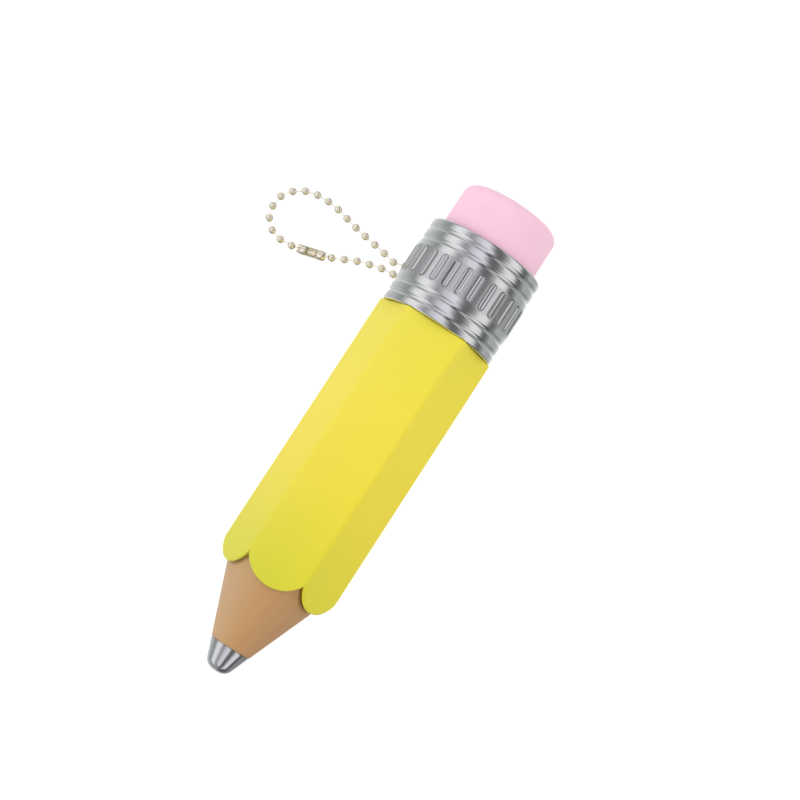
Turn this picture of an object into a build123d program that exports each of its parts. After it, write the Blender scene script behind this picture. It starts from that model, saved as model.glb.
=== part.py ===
from build123d import *
import os
from math import cos, pi, radians, sin, tan

os.makedirs("parts", exist_ok=True)

# A jumbo push-button pencil with a hexagonal barrel, a slotted ferrule and a key chain.
# Millimetres and degrees. The pencil lies on its side with its tip towards -X.
# A "station" is a distance along the pencil, measured from the very end of the nose.

# ---- clearances
fit = 0.05  # radial gap of pieces that are fixed together
slide_fit = 0.1  # radial gap of pieces that slide in each other
clearance = 0.3  # gap round pieces that only have to miss each other

# ---- metal tip
tip_length = 7.7
tip_base_radius = 6.15
cone_half_angle = 21.4
nose_round = 3.4
stem_radius = 4.0
stem_length = 8.0
stem_bore_radius = 3.1
retainer_seat_station = 8.2

# ---- lead and its rubber retainer
lead_diameter = 2.0
lead_clearance = 0.08
lead_length = 60.0
lead_setback = 1.0
spare_lead_count = 6
retainer_length = 2.0
retainer_radius = 2.4

# ---- hexagonal barrel
across_flats = 31.8
shell_wall = 2.1
edge_round = 1.2
tongue_overhang = 0.2
barrel_length = 85.5
spigot_length = 9.0

# ---- ferrule
ferrule_length = 27.1
ferrule_step = 0.2  # how far the ferrule stays inside the rounded barrel corners
band_length = 8.9
shoulder_length = 1.7
groove_width = 1.95
groove_depth = 0.75
ridge_drop = 0.2
ridge_length = 1.5
lip_round = 0.8
ferrule_wall = 2.1
stop_lip_length = 3.05
stop_lip_depth = 0.51
slot_count = 28
slot_length = 8.4
slot_width = 2.2
slot_depth = 0.45

# ---- eraser and push button
eraser_exposed = 14.4
eraser_round = 3.2
flange_thickness = 3.0
boss_radius = 8.7
boss_length = 9.0
o_ring_section = 1.2
button_travel = 5.0
button_neck_length = 7.0
button_neck_wall = 2.0

# ---- propelling mechanism
chuck_radius = 2.65
chuck_stem_radius = 1.9
chuck_front_station = 17.0
chuck_head_length = 4.5
chuck_slot_width = 0.4
chuck_slot_length = 11.0
clutch_ring_length = 3.0
clutch_ring_wall = 1.1
sleeve_radius = 5.1
sleeve_bore_radius = 4.1
sleeve_length = 24.0
sleeve_cup_length = 6.0
sleeve_web = 2.0
gland_length = 4.0
gland_radius = 6.1
spring_wire = 0.6
spring_mean_radius = 3.1
spring_length = 9.2
spring_turns = 5.5
washer_thickness = 0.6
washer_radius = 3.7
holder_nose_length = 12.5
holder_socket_length = 6.0
lead_passage_radius = 1.3
holder_collar_radius = 5.0
holder_collar_length = 6.0
holder_spigot_length = 6.0
lead_tube_radius = 5.0
lead_tube_bore_radius = 4.0
nose_cone_plug_length = 12.0
guide_length = 6.0
guide_spacing = 34.0

# ---- lug and ball chain
lug_angle = 135.0  # measured from straight up, towards the chain side
lug_wire = 1.4
lug_gap = 3.2
lug_height = 3.0
lug_root = 1.8
lug_offset = -1.7  # along the pencil, from the middle of the ferrule
chain_diameter = 2.4
connector_length = 8.6
connector_radius = 1.55
connector_wall = 0.25
connector_window = 1.5

# ---- places that follow from the sizes above
cone_slope = tan(radians(cone_half_angle))
outer_apothem = across_flats / 2
inner_apothem = outer_apothem - shell_wall
inner_corner = inner_apothem / cos(radians(30))
rounded_corner = (outer_apothem - edge_round) / cos(radians(30)) + edge_round
half_side = outer_apothem * tan(radians(30))


def cone_station(radius):
    """Station where the pencil's point has this radius."""
    return tip_length + (radius - tip_base_radius) / cone_slope


tongue_station = cone_station(inner_apothem) + tongue_overhang
notch_station = cone_station(inner_corner) + tongue_overhang
ferrule_station = tongue_station + barrel_length
ferrule_end = ferrule_station + ferrule_length
ferrule_middle = ferrule_station + ferrule_length / 2
pencil_length = ferrule_end + eraser_exposed
ferrule_radius = rounded_corner - ferrule_step
axis_height = ferrule_radius
ferrule_bore = ferrule_radius - ferrule_wall
eraser_bore = ferrule_bore - stop_lip_depth
eraser_radius = eraser_bore - clearance
lead_radius = lead_diameter / 2
nose_hole_radius = lead_radius + lead_clearance

PENCIL_AXIS = Axis((0, 0, axis_height), (1, 0, 0))
HALF_SECTION = Plane(origin=(-pencil_length / 2, 0, axis_height), x_dir=(1, 0, 0), z_dir=(0, -1, 0))


def across(station):
    """Plane across the pencil at a station, facing the eraser end."""
    return Plane(origin=(station - pencil_length / 2, 0, axis_height), x_dir=(0, 1, 0), z_dir=(1, 0, 0))


def around(angle, radius, station):
    """Plane that touches a circle round the pencil, angle measured from straight up towards +Y."""
    outwards = Vector(0, sin(radians(angle)), cos(radians(angle)))
    origin = Vector(station - pencil_length / 2, 0, axis_height) + outwards * radius
    return Plane(origin=origin, x_dir=(1, 0, 0), z_dir=outwards)


def turn(*outline):
    """Revolve a closed outline of (station, radius) points round the pencil axis."""
    with BuildSketch(HALF_SECTION) as section:
        with BuildLine():
            Polyline(*outline, close=True)
        make_face()
    revolve(section.sketch, axis=PENCIL_AXIS)


def turn_ring(start, end, inner, outer):
    """Revolve a plain ring between two stations."""
    turn((start, inner), (end, inner), (end, outer), (start, outer))


def finish_part(part, name):
    """Label a piece and write it to its own file."""
    part.label = name
    export_step(part, f"parts/{name}.step")


# ---- tip: polished metal nose with a stem that plugs into the wooden cone
stem_end = tip_length + stem_length
retainer_end = retainer_seat_station + retainer_length + fit
cone_at_nose = tip_base_radius - cone_slope * (tip_length - nose_round)
round_centre_radius = cone_at_nose - nose_round / cos(radians(cone_half_angle))
tangent_station = nose_round - nose_round * sin(radians(cone_half_angle))
tangent_radius = round_centre_radius + nose_round * cos(radians(cone_half_angle))
middle_angle = radians((90 + cone_half_angle) / 2)
arc_middle = (
    nose_round - nose_round * sin(middle_angle),
    round_centre_radius + nose_round * cos(middle_angle),
)
with BuildPart() as tip:
    with BuildSketch(HALF_SECTION):
        with BuildLine():
            Polyline(
                (tangent_station, tangent_radius),
                (tip_length, tip_base_radius),
                (tip_length, stem_radius),
                (stem_end, stem_radius),
                (stem_end, stem_bore_radius),
                (retainer_end, stem_bore_radius),
                (retainer_end, retainer_radius + fit),
                (retainer_seat_station, retainer_radius + fit),
                (retainer_seat_station, nose_hole_radius),
                (0, nose_hole_radius),
            )
            nose_face = Line((0, nose_hole_radius), (0, max(round_centre_radius, nose_hole_radius + fit)))
            ThreePointArc(nose_face @ 1, arc_middle, (tangent_station, tangent_radius))
        make_face()
    revolve(axis=PENCIL_AXIS)
finish_part(tip.part, "tip")

# ---- lead_retainer: rubber ring that keeps the lead from sliding back
with BuildPart() as lead_retainer:
    turn_ring(
        retainer_seat_station,
        retainer_seat_station + retainer_length,
        lead_radius + fit,
        retainer_radius,
    )
finish_part(lead_retainer.part, "lead_retainer")

# ---- nose_cone: wood-coloured cone whose rear is a hexagonal plug inside the barrel
sleeve_station = stem_end + clearance
sleeve_end = sleeve_station + sleeve_length
gland_end = sleeve_end + gland_length
plug_end = max(notch_station + nose_cone_plug_length, gland_end)
cone_full = cone_station(inner_corner)
cone_bore = sleeve_radius + fit
with BuildPart() as nose_cone:
    turn(
        (tip_length, stem_radius + fit),
        (tip_length, tip_base_radius),
        (cone_full, inner_corner),
        (plug_end, inner_corner),
        (plug_end, gland_radius + fit),
        (sleeve_end, gland_radius + fit),
        (sleeve_end, cone_bore),
        (stem_end, cone_bore),
        (stem_end, stem_radius + fit),
    )
    with BuildSketch(across(tip_length)):
        RegularPolygon(radius=inner_apothem - fit, side_count=6, major_radius=False)
    extrude(amount=plug_end - tip_length, mode=Mode.INTERSECT)
finish_part(nose_cone.part, "nose_cone")

# ---- barrel_shell: hexagonal tube with six tongues in front and a round spigot behind
spigot_end = ferrule_station + spigot_length
spigot_radius = ferrule_bore - fit
bushing_radius = spigot_radius - shell_wall
hex_bore_end = ferrule_station - shell_wall
with BuildPart() as barrel_shell:
    with BuildSketch(across(tongue_station)):
        RegularPolygon(radius=outer_apothem, side_count=6, major_radius=False)
    extrude(amount=spigot_end - tongue_station)
    fillet(barrel_shell.edges().filter_by(Axis.X), radius=edge_round)
    with BuildSketch(across(ferrule_station)):
        Circle(ferrule_radius * 2)
        Circle(spigot_radius, mode=Mode.SUBTRACT)
    extrude(amount=spigot_length, mode=Mode.SUBTRACT)
    with BuildSketch(across(tongue_station)):
        RegularPolygon(radius=inner_apothem, side_count=6, major_radius=False)
    extrude(amount=hex_bore_end - tongue_station, mode=Mode.SUBTRACT)
    with BuildSketch(across(hex_bore_end)):
        Circle(bushing_radius)
    extrude(amount=spigot_end - hex_bore_end, mode=Mode.SUBTRACT)
    for face in range(6):
        with BuildSketch(around(60 * face, outer_apothem, 0)):
            with BuildLine():
                ThreePointArc(
                    (notch_station, -half_side), (tongue_station, 0), (notch_station, half_side)
                )
                Polyline(
                    (notch_station, half_side),
                    (tongue_station - 1, half_side),
                    (tongue_station - 1, -half_side),
                    (notch_station, -half_side),
                )
            make_face()
        extrude(amount=-shell_wall - fit, mode=Mode.SUBTRACT)
finish_part(barrel_shell.part, "barrel_shell")

# ---- ferrule: turned metal ring with two grooves each side of a slotted band
half_band = band_length / 2
shoulder_end = half_band + shoulder_length
inner_groove_end = shoulder_end + groove_width
outer_groove_start = inner_groove_end + ridge_length
outer_groove_end = outer_groove_start + groove_width
ridge_radius = ferrule_radius - ridge_drop
groove_bottom = ridge_radius - groove_depth
lip_end = ferrule_length / 2


def ferrule_flank(side):
    """Outer profile from the band to one end of the ferrule; side is +1 or -1 along the pencil."""

    def at(offset, radius):
        return (ferrule_middle + side * offset, radius)

    def groove(start, end):
        ThreePointArc(at(start, ridge_radius), at((start + end) / 2, groove_bottom), at(end, ridge_radius))

    Line(at(half_band, ferrule_radius), at(shoulder_end, ridge_radius))
    groove(shoulder_end, inner_groove_end)
    Line(at(inner_groove_end, ridge_radius), at(outer_groove_start, ridge_radius))
    groove(outer_groove_start, outer_groove_end)
    Line(at(outer_groove_end, ridge_radius), at(lip_end - lip_round, ridge_radius))
    ThreePointArc(
        at(lip_end - lip_round, ridge_radius),
        at(lip_end - lip_round * (1 - sin(radians(45))), ridge_radius - lip_round * (1 - cos(radians(45)))),
        at(lip_end, ridge_radius - lip_round),
    )


stop_lip_station = ferrule_end - stop_lip_length
lug_station = ferrule_middle + lug_offset
leg_spread = (lug_gap + lug_wire) / 2
leg_root_radius = ferrule_radius - lug_root
with BuildPart() as ferrule:
    with BuildSketch(HALF_SECTION):
        with BuildLine():
            ferrule_flank(-1)
            ferrule_flank(1)
            Line((ferrule_middle - half_band, ferrule_radius), (ferrule_middle + half_band, ferrule_radius))
            Polyline(
                (ferrule_station, ridge_radius - lip_round),
                (ferrule_station, ferrule_bore),
                (stop_lip_station, ferrule_bore),
                (stop_lip_station, eraser_bore),
                (ferrule_end, eraser_bore),
                (ferrule_end, ridge_radius - lip_round),
            )
        make_face()
    revolve(axis=PENCIL_AXIS)
    for slot in range(slot_count):
        with BuildSketch(around(slot * 360 / slot_count, ferrule_radius, ferrule_middle)):
            SlotOverall(slot_length, slot_width)
        extrude(amount=-slot_depth, mode=Mode.SUBTRACT)
    for side in (-1, 1):
        with BuildSketch(around(lug_angle, leg_root_radius, lug_station)):
            with Locations((0, side * leg_spread)):
                Circle(lug_wire / 2 + fit)
        extrude(amount=lug_root * 2, mode=Mode.SUBTRACT)
finish_part(ferrule.part, "ferrule")

# ---- chain_lug: wire staple set into the side of the ferrule
lug_plane = around(lug_angle, 0, lug_station)
staple_plane = Plane(origin=lug_plane.origin, x_dir=lug_plane.y_dir, z_dir=lug_plane.x_dir)
lug_top = ferrule_radius + lug_height + lug_wire / 2
straight_top = lug_top - leg_spread
with BuildPart() as chain_lug:
    with BuildLine(staple_plane) as staple_path:
        Line((-leg_spread, leg_root_radius), (-leg_spread, straight_top))
        ThreePointArc((-leg_spread, straight_top), (0, lug_top), (leg_spread, straight_top))
        Line((leg_spread, straight_top), (leg_spread, leg_root_radius))
    with BuildSketch(Plane(origin=staple_path.line @ 0, z_dir=staple_path.line % 0)):
        Circle(lug_wire / 2)
    sweep(path=staple_path.line)
finish_part(chain_lug.part, "chain_lug")

# ---- push_button: flange that slides in the ferrule, a neck on the lead tube, a boss in the eraser
flange_station = stop_lip_station - flange_thickness
neck_start = flange_station - button_neck_length
boss_end = stop_lip_station + boss_length
neck_radius = lead_tube_radius + button_neck_wall
groove_station = stop_lip_station + boss_length / 2
groove_radius = boss_radius + fit - o_ring_section
with BuildPart() as push_button:
    turn(
        (neck_start, lead_tube_radius + fit),
        (neck_start, neck_radius),
        (flange_station, neck_radius),
        (flange_station, ferrule_bore - slide_fit),
        (stop_lip_station, ferrule_bore - slide_fit),
        (stop_lip_station, boss_radius),
        (groove_station - o_ring_section / 2 - fit, boss_radius),
        (groove_station - o_ring_section / 2 - fit, groove_radius),
        (groove_station + o_ring_section / 2 + fit, groove_radius),
        (groove_station + o_ring_section / 2 + fit, boss_radius),
        (boss_end, boss_radius),
        (boss_end, lead_tube_bore_radius),
        (stop_lip_station, lead_tube_bore_radius),
        (stop_lip_station, lead_tube_radius + fit),
    )
finish_part(push_button.part, "push_button")

# ---- grip_ring: rubber ring on the boss that holds the eraser
socket_radius = boss_radius + clearance
with BuildPart() as grip_ring:
    with BuildSketch(HALF_SECTION):
        with Locations((groove_station, socket_radius - slide_fit - o_ring_section / 2)):
            Circle(o_ring_section / 2)
    revolve(axis=PENCIL_AXIS)
finish_part(grip_ring.part, "grip_ring")

# ---- eraser: cylinder with a rounded end and a socket for the boss
socket_end = boss_end + clearance
with BuildPart() as eraser:
    turn(
        (stop_lip_station, socket_radius),
        (stop_lip_station, eraser_radius),
        (pencil_length, eraser_radius),
        (pencil_length, 0),
        (socket_end, 0),
        (socket_end, socket_radius),
    )
    rear_rim = eraser.edges().filter_by(GeomType.CIRCLE).group_by(Axis.X)[-1]
    fillet(rear_rim, radius=eraser_round)
finish_part(eraser.part, "eraser")

# ---- chuck_sleeve: fixed housing of the chuck inside the wooden cone
web_start = sleeve_station + sleeve_cup_length
web_end = web_start + sleeve_web
with BuildPart() as chuck_sleeve:
    turn(
        (sleeve_station, sleeve_bore_radius),
        (sleeve_station, sleeve_radius),
        (sleeve_end, sleeve_radius),
        (sleeve_end, sleeve_bore_radius),
        (web_end, sleeve_bore_radius),
        (web_end, chuck_stem_radius + clearance),
        (web_start, chuck_stem_radius + clearance),
        (web_start, sleeve_bore_radius),
    )
finish_part(chuck_sleeve.part, "chuck_sleeve")

# ---- sleeve_gland: threaded ring that holds the sleeve in the cone
with BuildPart() as sleeve_gland:
    turn_ring(sleeve_end, gland_end, holder_collar_radius + clearance, gland_radius)
finish_part(sleeve_gland.part, "sleeve_gland")

# ---- clutch_ring: brass ring that closes the chuck's jaws
clutch_station = chuck_front_station + 0.6
clutch_bore = chuck_radius + slide_fit
with BuildPart() as clutch_ring:
    turn_ring(clutch_station, clutch_station + clutch_ring_length, clutch_bore, clutch_bore + clutch_ring_wall)
finish_part(clutch_ring.part, "clutch_ring")

# ---- chuck: brass collet, slit into three jaws, with its stem pressed into the holder
holder_station = web_end + spring_length + washer_thickness
chuck_head_end = chuck_front_station + chuck_head_length
socket_bottom = holder_station + holder_socket_length
with BuildPart() as chuck:
    turn(
        (chuck_front_station, lead_radius + fit),
        (chuck_front_station, chuck_radius),
        (chuck_front_station + chuck_head_length / 2, chuck_radius),
        (chuck_head_end, chuck_stem_radius),
        (socket_bottom, chuck_stem_radius),
        (socket_bottom, lead_radius + fit),
    )
    with BuildSketch(across(chuck_front_station)):
        with PolarLocations(chuck_radius / 2, 3, start_angle=90):
            Rectangle(chuck_radius, chuck_slot_width)
    extrude(amount=chuck_slot_length, mode=Mode.SUBTRACT)
finish_part(chuck.part, "chuck")

# ---- chuck_spring: return spring round the chuck's stem
spring_rise = spring_length - spring_wire - 2 * fit
spring_start = across(web_end + spring_wire / 2 + fit)
with BuildPart() as chuck_spring:
    with BuildLine() as coil:
        Helix(
            pitch=spring_rise / spring_turns,
            height=spring_rise,
            radius=spring_mean_radius,
            center=spring_start.origin,
            direction=spring_start.z_dir,
        )
    with BuildSketch(Plane(origin=coil.line @ 0, z_dir=coil.line % 0)):
        Circle(spring_wire / 2)
    sweep(path=coil.line, is_frenet=True)
finish_part(chuck_spring.part, "chuck_spring")

# ---- spring_washer: steel washer between the spring and the holder
with BuildPart() as spring_washer:
    turn_ring(holder_station - washer_thickness, holder_station, chuck_stem_radius + slide_fit, washer_radius)
finish_part(spring_washer.part, "spring_washer")

# ---- chuck_holder: joins the chuck to the lead tube and funnels the next lead into it
collar_station = holder_station + holder_nose_length
tube_station = collar_station + holder_collar_length
holder_end = tube_station + holder_spigot_length
with BuildPart() as chuck_holder:
    turn(
        (holder_station, chuck_stem_radius + fit),
        (holder_station, sleeve_bore_radius - 2 * slide_fit),
        (collar_station, sleeve_bore_radius - 2 * slide_fit),
        (collar_station, holder_collar_radius),
        (tube_station, holder_collar_radius),
        (tube_station, lead_tube_bore_radius - fit),
        (holder_end, lead_tube_bore_radius - fit),
        (holder_end, lead_tube_bore_radius - clearance - fit),
        (tube_station, lead_passage_radius),
        (socket_bottom + fit, lead_passage_radius),
        (socket_bottom + fit, chuck_stem_radius + fit),
    )
finish_part(chuck_holder.part, "chuck_holder")

# ---- lead_tube: plastic magazine for the spare leads, from the holder to the push button
with BuildPart() as lead_tube:
    turn_ring(tube_station, stop_lip_station, lead_tube_bore_radius, lead_tube_radius)
finish_part(lead_tube.part, "lead_tube")

# ---- lead: the one in use, drawn back inside the nose
with BuildPart() as lead:
    with BuildSketch(across(lead_setback)):
        Circle(lead_radius)
    extrude(amount=lead_length)
finish_part(lead.part, "lead")

# ---- spare_leads: waiting round the wall of the magazine
with BuildPart() as spare_leads:
    with BuildSketch(across(holder_end + clearance)):
        with PolarLocations(lead_tube_bore_radius - lead_radius - slide_fit, spare_lead_count, start_angle=90):
            Circle(lead_radius)
    extrude(amount=lead_length)
finish_part(spare_leads.part, "spare_leads")

# ---- mid_guide: hexagonal disc that steadies the lead tube half way along the barrel
with BuildPart() as mid_guide:
    with BuildSketch(across(plug_end + guide_spacing)):
        RegularPolygon(radius=inner_apothem - fit, side_count=6, major_radius=False)
        Circle(lead_tube_radius + slide_fit, mode=Mode.SUBTRACT)
    extrude(amount=guide_length)
finish_part(mid_guide.part, "mid_guide")

# ---- rear_bushing: round disc that guides the lead tube in the barrel's spigot
with BuildPart() as rear_bushing:
    turn_ring(
        spigot_end - clearance - guide_length,
        spigot_end - clearance,
        lead_tube_radius + slide_fit,
        bushing_radius - fit,
    )
finish_part(rear_bushing.part, "rear_bushing")

# ---- ball_chain: limp cord through the lug, from one mouth of its connector to the other
chain_route = [
    (37.6, 46.6, 1.55),
    (36.55, 50.8, 1.4),
    (36.7, 56.6, 1.2),
    (40.4, 61.0, 1.2),
    (47.6, 61.8, 1.2),
    (53.4, 56.0, 1.2),
    (54.0, 46.8, 1.2),
    (51.3, 36.8, 1.2),
    (49.9, 27.0, 1.2),
    (48.3, 20.4, 1.2),
    (51.6, 16.8, 2.1),
    (50.0, 13.8, 4.2),
    (45.0, 13.8, 4.2),
    (43.4, 16.8, 2.1),
    (46.3, 20.4, 1.2),
    (45.3, 25.4, 1.2),
    (43.3, 32.4, 1.2),
    (40.2, 37.7, 1.4),
    (38.85, 41.9, 1.55),
]


def bend_radii(route):
    """Largest arc that each corner's two runs allow."""
    radii = []
    for before, corner, after in zip(route, route[1:], route[2:]):
        run_in = Vector(corner) - Vector(before)
        run_out = Vector(after) - Vector(corner)
        half_turn = radians(run_in.get_angle(run_out)) / 2
        radii.append(0.45 * min(run_in.length, run_out.length) / tan(half_turn))
    return radii


chain_radii = bend_radii(chain_route)
print("chain bend radii", [round(radius, 1) for radius in chain_radii])
with BuildPart() as ball_chain:
    with BuildLine() as chain_path:
        FilletPolyline(*chain_route, radius=chain_radii)
    with BuildSketch(Plane(origin=chain_route[0], z_dir=chain_path.line % 0)):
        Circle(chain_diameter / 2)
    sweep(path=chain_path.line)
chain_length = chain_path.wire().length
expected_volume = chain_length * pi * (chain_diameter / 2) ** 2
print("chain length", round(chain_length, 1))
print("chain volume over expected", round(ball_chain.part.volume / expected_volume, 4))
finish_part(ball_chain.part, "ball_chain")

# ---- chain_connector: sheet-metal sleeve, open along its top, that grips both ends of the chain
mouth_a = Vector(chain_route[0])
mouth_b = Vector(chain_route[-1])
connector_axis = (mouth_b - mouth_a).normalized()
connector_middle = (mouth_a + mouth_b) / 2
connector_plane = Plane(
    origin=connector_middle - connector_axis * connector_length / 2,
    x_dir=connector_axis.cross(Vector(0, 0, 1)),
    z_dir=connector_axis,
)
with BuildPart() as chain_connector:
    with BuildSketch(connector_plane):
        Circle(connector_radius)
        Circle(connector_radius - connector_wall, mode=Mode.SUBTRACT)
        with Locations((0, -connector_radius)):
            Rectangle(connector_window, connector_radius, mode=Mode.SUBTRACT)
    extrude(amount=connector_length)
finish_part(chain_connector.part, "chain_connector")

print("pencil length", round(pencil_length, 2), "ferrule radius", round(ferrule_radius, 3))
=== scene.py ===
"""Looks for the jumbo mechanical pencil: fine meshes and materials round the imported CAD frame."""

import math

import bmesh
import bpy
from mathutils import Matrix, Vector


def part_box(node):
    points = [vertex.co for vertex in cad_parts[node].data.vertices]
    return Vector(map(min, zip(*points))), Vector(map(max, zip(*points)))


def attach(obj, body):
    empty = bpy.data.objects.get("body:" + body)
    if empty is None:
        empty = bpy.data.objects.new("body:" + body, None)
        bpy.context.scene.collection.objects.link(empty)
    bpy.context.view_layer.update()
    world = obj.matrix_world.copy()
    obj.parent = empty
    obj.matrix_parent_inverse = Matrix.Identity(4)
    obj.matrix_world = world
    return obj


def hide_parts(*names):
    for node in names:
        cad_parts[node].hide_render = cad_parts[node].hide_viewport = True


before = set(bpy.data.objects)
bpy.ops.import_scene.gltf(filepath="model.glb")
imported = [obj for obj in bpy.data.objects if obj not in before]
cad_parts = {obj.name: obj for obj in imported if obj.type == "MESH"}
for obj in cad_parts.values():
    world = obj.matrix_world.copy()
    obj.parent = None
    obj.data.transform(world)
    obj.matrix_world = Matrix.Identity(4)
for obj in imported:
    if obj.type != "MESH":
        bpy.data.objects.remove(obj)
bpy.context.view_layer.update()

MM = 0.001
TAU = 2 * math.pi

# ---- places read from the frame
tip_low, tip_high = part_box("tip")
cone_low, cone_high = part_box("nose_cone")
shell_low, shell_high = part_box("barrel_shell")
ferrule_low, ferrule_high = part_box("ferrule")
eraser_low, eraser_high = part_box("eraser")

AXIS_Z = (ferrule_low[2] + ferrule_high[2]) / 2
NOSE_X = tip_low[0]
TIP_BASE_X = cone_low[0]
TIP_BASE_RADIUS = (tip_high[2] - tip_low[2]) / 2
TONGUE_X = shell_low[0]
SPIGOT_END_X = shell_high[0]
OUTER_APOTHEM = (shell_high[2] - shell_low[2]) / 2
FERRULE_X = ferrule_low[0]
FERRULE_END_X = ferrule_high[0]
FERRULE_MIDDLE_X = (FERRULE_X + FERRULE_END_X) / 2
FERRULE_RADIUS = (ferrule_high[2] - ferrule_low[2]) / 2
ERASER_END_X = eraser_high[0]
ERASER_START_X = eraser_low[0]
ERASER_RADIUS = (eraser_high[2] - eraser_low[2]) / 2

# ---- sizes that the boxes don't show, the same as in the CAD but for the grooves, which are shallower
CONE_SLOPE = math.tan(math.radians(21.4))
SHELL_WALL = 2.1 * MM
EDGE_ROUND = 1.2 * MM
NOSE_ROUND = 3.4 * MM
NOSE_HOLE_RADIUS = 1.08 * MM
STEM_RADIUS = 4.0 * MM
FERRULE_BORE = FERRULE_RADIUS - 2.1 * MM
BAND_LENGTH = 8.9 * MM
SHOULDER_LENGTH = 1.7 * MM
GROOVE_WIDTH = 1.95 * MM
GROOVE_DEPTH = 0.45 * MM
RIDGE_DROP = 0.2 * MM
RIDGE_LENGTH = 1.5 * MM
LIP_ROUND = 0.8 * MM
STOP_LIP_LENGTH = 3.05 * MM
SLOT_COUNT = 28
SLOT_LENGTH = 8.4 * MM
SLOT_WIDTH = 2.2 * MM
SLOT_DEPTH = 0.45 * MM
ERASER_ROUND = 3.2 * MM
SOCKET_RADIUS = 9.0 * MM
SOCKET_END = ERASER_START_X + 9.3 * MM
LUG_ANGLE = math.radians(135)
LUG_WIRE = 1.4 * MM
LUG_GAP = 3.2 * MM
LUG_HEIGHT = 3.0 * MM
LUG_ROOT = 1.8 * MM
LUG_X = FERRULE_MIDDLE_X - 1.7 * MM
CHAIN_DIAMETER = 2.4 * MM
BEAD_PITCH = 3.7 * MM
CONNECTOR_LENGTH = 8.6 * MM
CONNECTOR_RADIUS = 1.55 * MM

SIXTH = math.radians(60)
INNER_APOTHEM = OUTER_APOTHEM - SHELL_WALL
INNER_CORNER = INNER_APOTHEM / math.cos(SIXTH / 2)
HALF_SIDE = OUTER_APOTHEM * math.tan(SIXTH / 2)
NOTCH_X = TIP_BASE_X + (INNER_CORNER - TIP_BASE_RADIUS) / CONE_SLOPE + 0.2 * MM
TONGUE_DEPTH = NOTCH_X - TONGUE_X
TONGUE_RADIUS = (HALF_SIDE ** 2 + TONGUE_DEPTH ** 2) / (2 * TONGUE_DEPTH)


# ---- camera and light
def add_camera():
    """Long lens above the pencil, leaning to its nose and its near side, turned in its own view."""
    tilt = math.radians(6.0)
    lean = math.radians(3.6)
    twist = math.radians(33.03)
    distance = 0.571
    target = Vector((14.05 * MM, -2.15 * MM, AXIS_Z))
    along = Vector((math.cos(tilt), -math.sin(tilt) * math.sin(lean), math.sin(tilt) * math.cos(lean)))
    aside = Vector((0, -math.cos(lean), -math.sin(lean)))
    forward = along.cross(aside).normalized()
    right = along * math.sin(twist) + aside * math.cos(twist)
    up = along * math.cos(twist) - aside * math.sin(twist)
    data = bpy.data.cameras.new("camera")
    data.lens = 91.2
    data.sensor_width = 36.0
    data.clip_start = 0.05
    camera = bpy.data.objects.new("camera", data)
    turn = Matrix((right, up, -forward)).transposed().to_4x4()
    camera.matrix_world = Matrix.Translation(target - forward * distance) @ turn
    bpy.context.collection.objects.link(camera)
    bpy.context.scene.camera = camera


# Softboxes and grey cards that stand in long rows beside the pencil: the angle from straight up
# towards +Y, in degrees, and how bright the studio is there
STUDIO = [
    (-180, 0.90), (-132, 0.48), (-110, 0.50), (-100, 0.26), (-91, 0.13), (-84, 0.26), (-77, 0.84),
    (-66, 0.98), (-56, 0.90), (-44, 0.42), (-36, 0.20), (-28, 0.15), (-19, 0.20), (-12, 0.52),
    (-4, 0.92), (4, 0.90), (20, 0.70), (28, 0.46), (36, 0.38), (44, 0.62), (52, 0.92), (60, 1.02),
    (68, 1.02), (76, 0.85), (84, 0.52), (92, 0.34), (100, 0.42), (124, 0.62), (150, 0.80), (180, 0.90),
]

# The rows stand a little askew, and those on the far side splay apart towards the nose
STUDIO_SKEW = -0.18
STUDIO_SPLAY = 0.19

# Towards the pencil's own direction the studio gets darker: the cosine where that starts, and the
# light that is left at its end
ENDS_FROM = 0.74
ENDS_LEVEL = 0.56

# Large grey cards beside the nose on the near side, one low and one level with the pencil: the
# way to each, the cosines at its soft edge and its full depth, and what is left of the light there
CARDS = [
    ((-0.66, -0.47, -0.58), 0.70, 0.98, 0.60),
    ((-0.84, -0.50, -0.20), 0.87, 0.95, 0.60),
]


def studio_colour(degrees, level):
    """A card's colour: a little lavender overhead, and a little green low down at the sides."""
    lavender = 0.05 * math.exp(-(((degrees - 8) / 25) ** 2))
    green = 0.015 if abs(degrees) > 80 else 0
    return (level * (1 - green), level * (1 + green - lavender / 2), level * (1 + lavender), 1)


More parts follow.
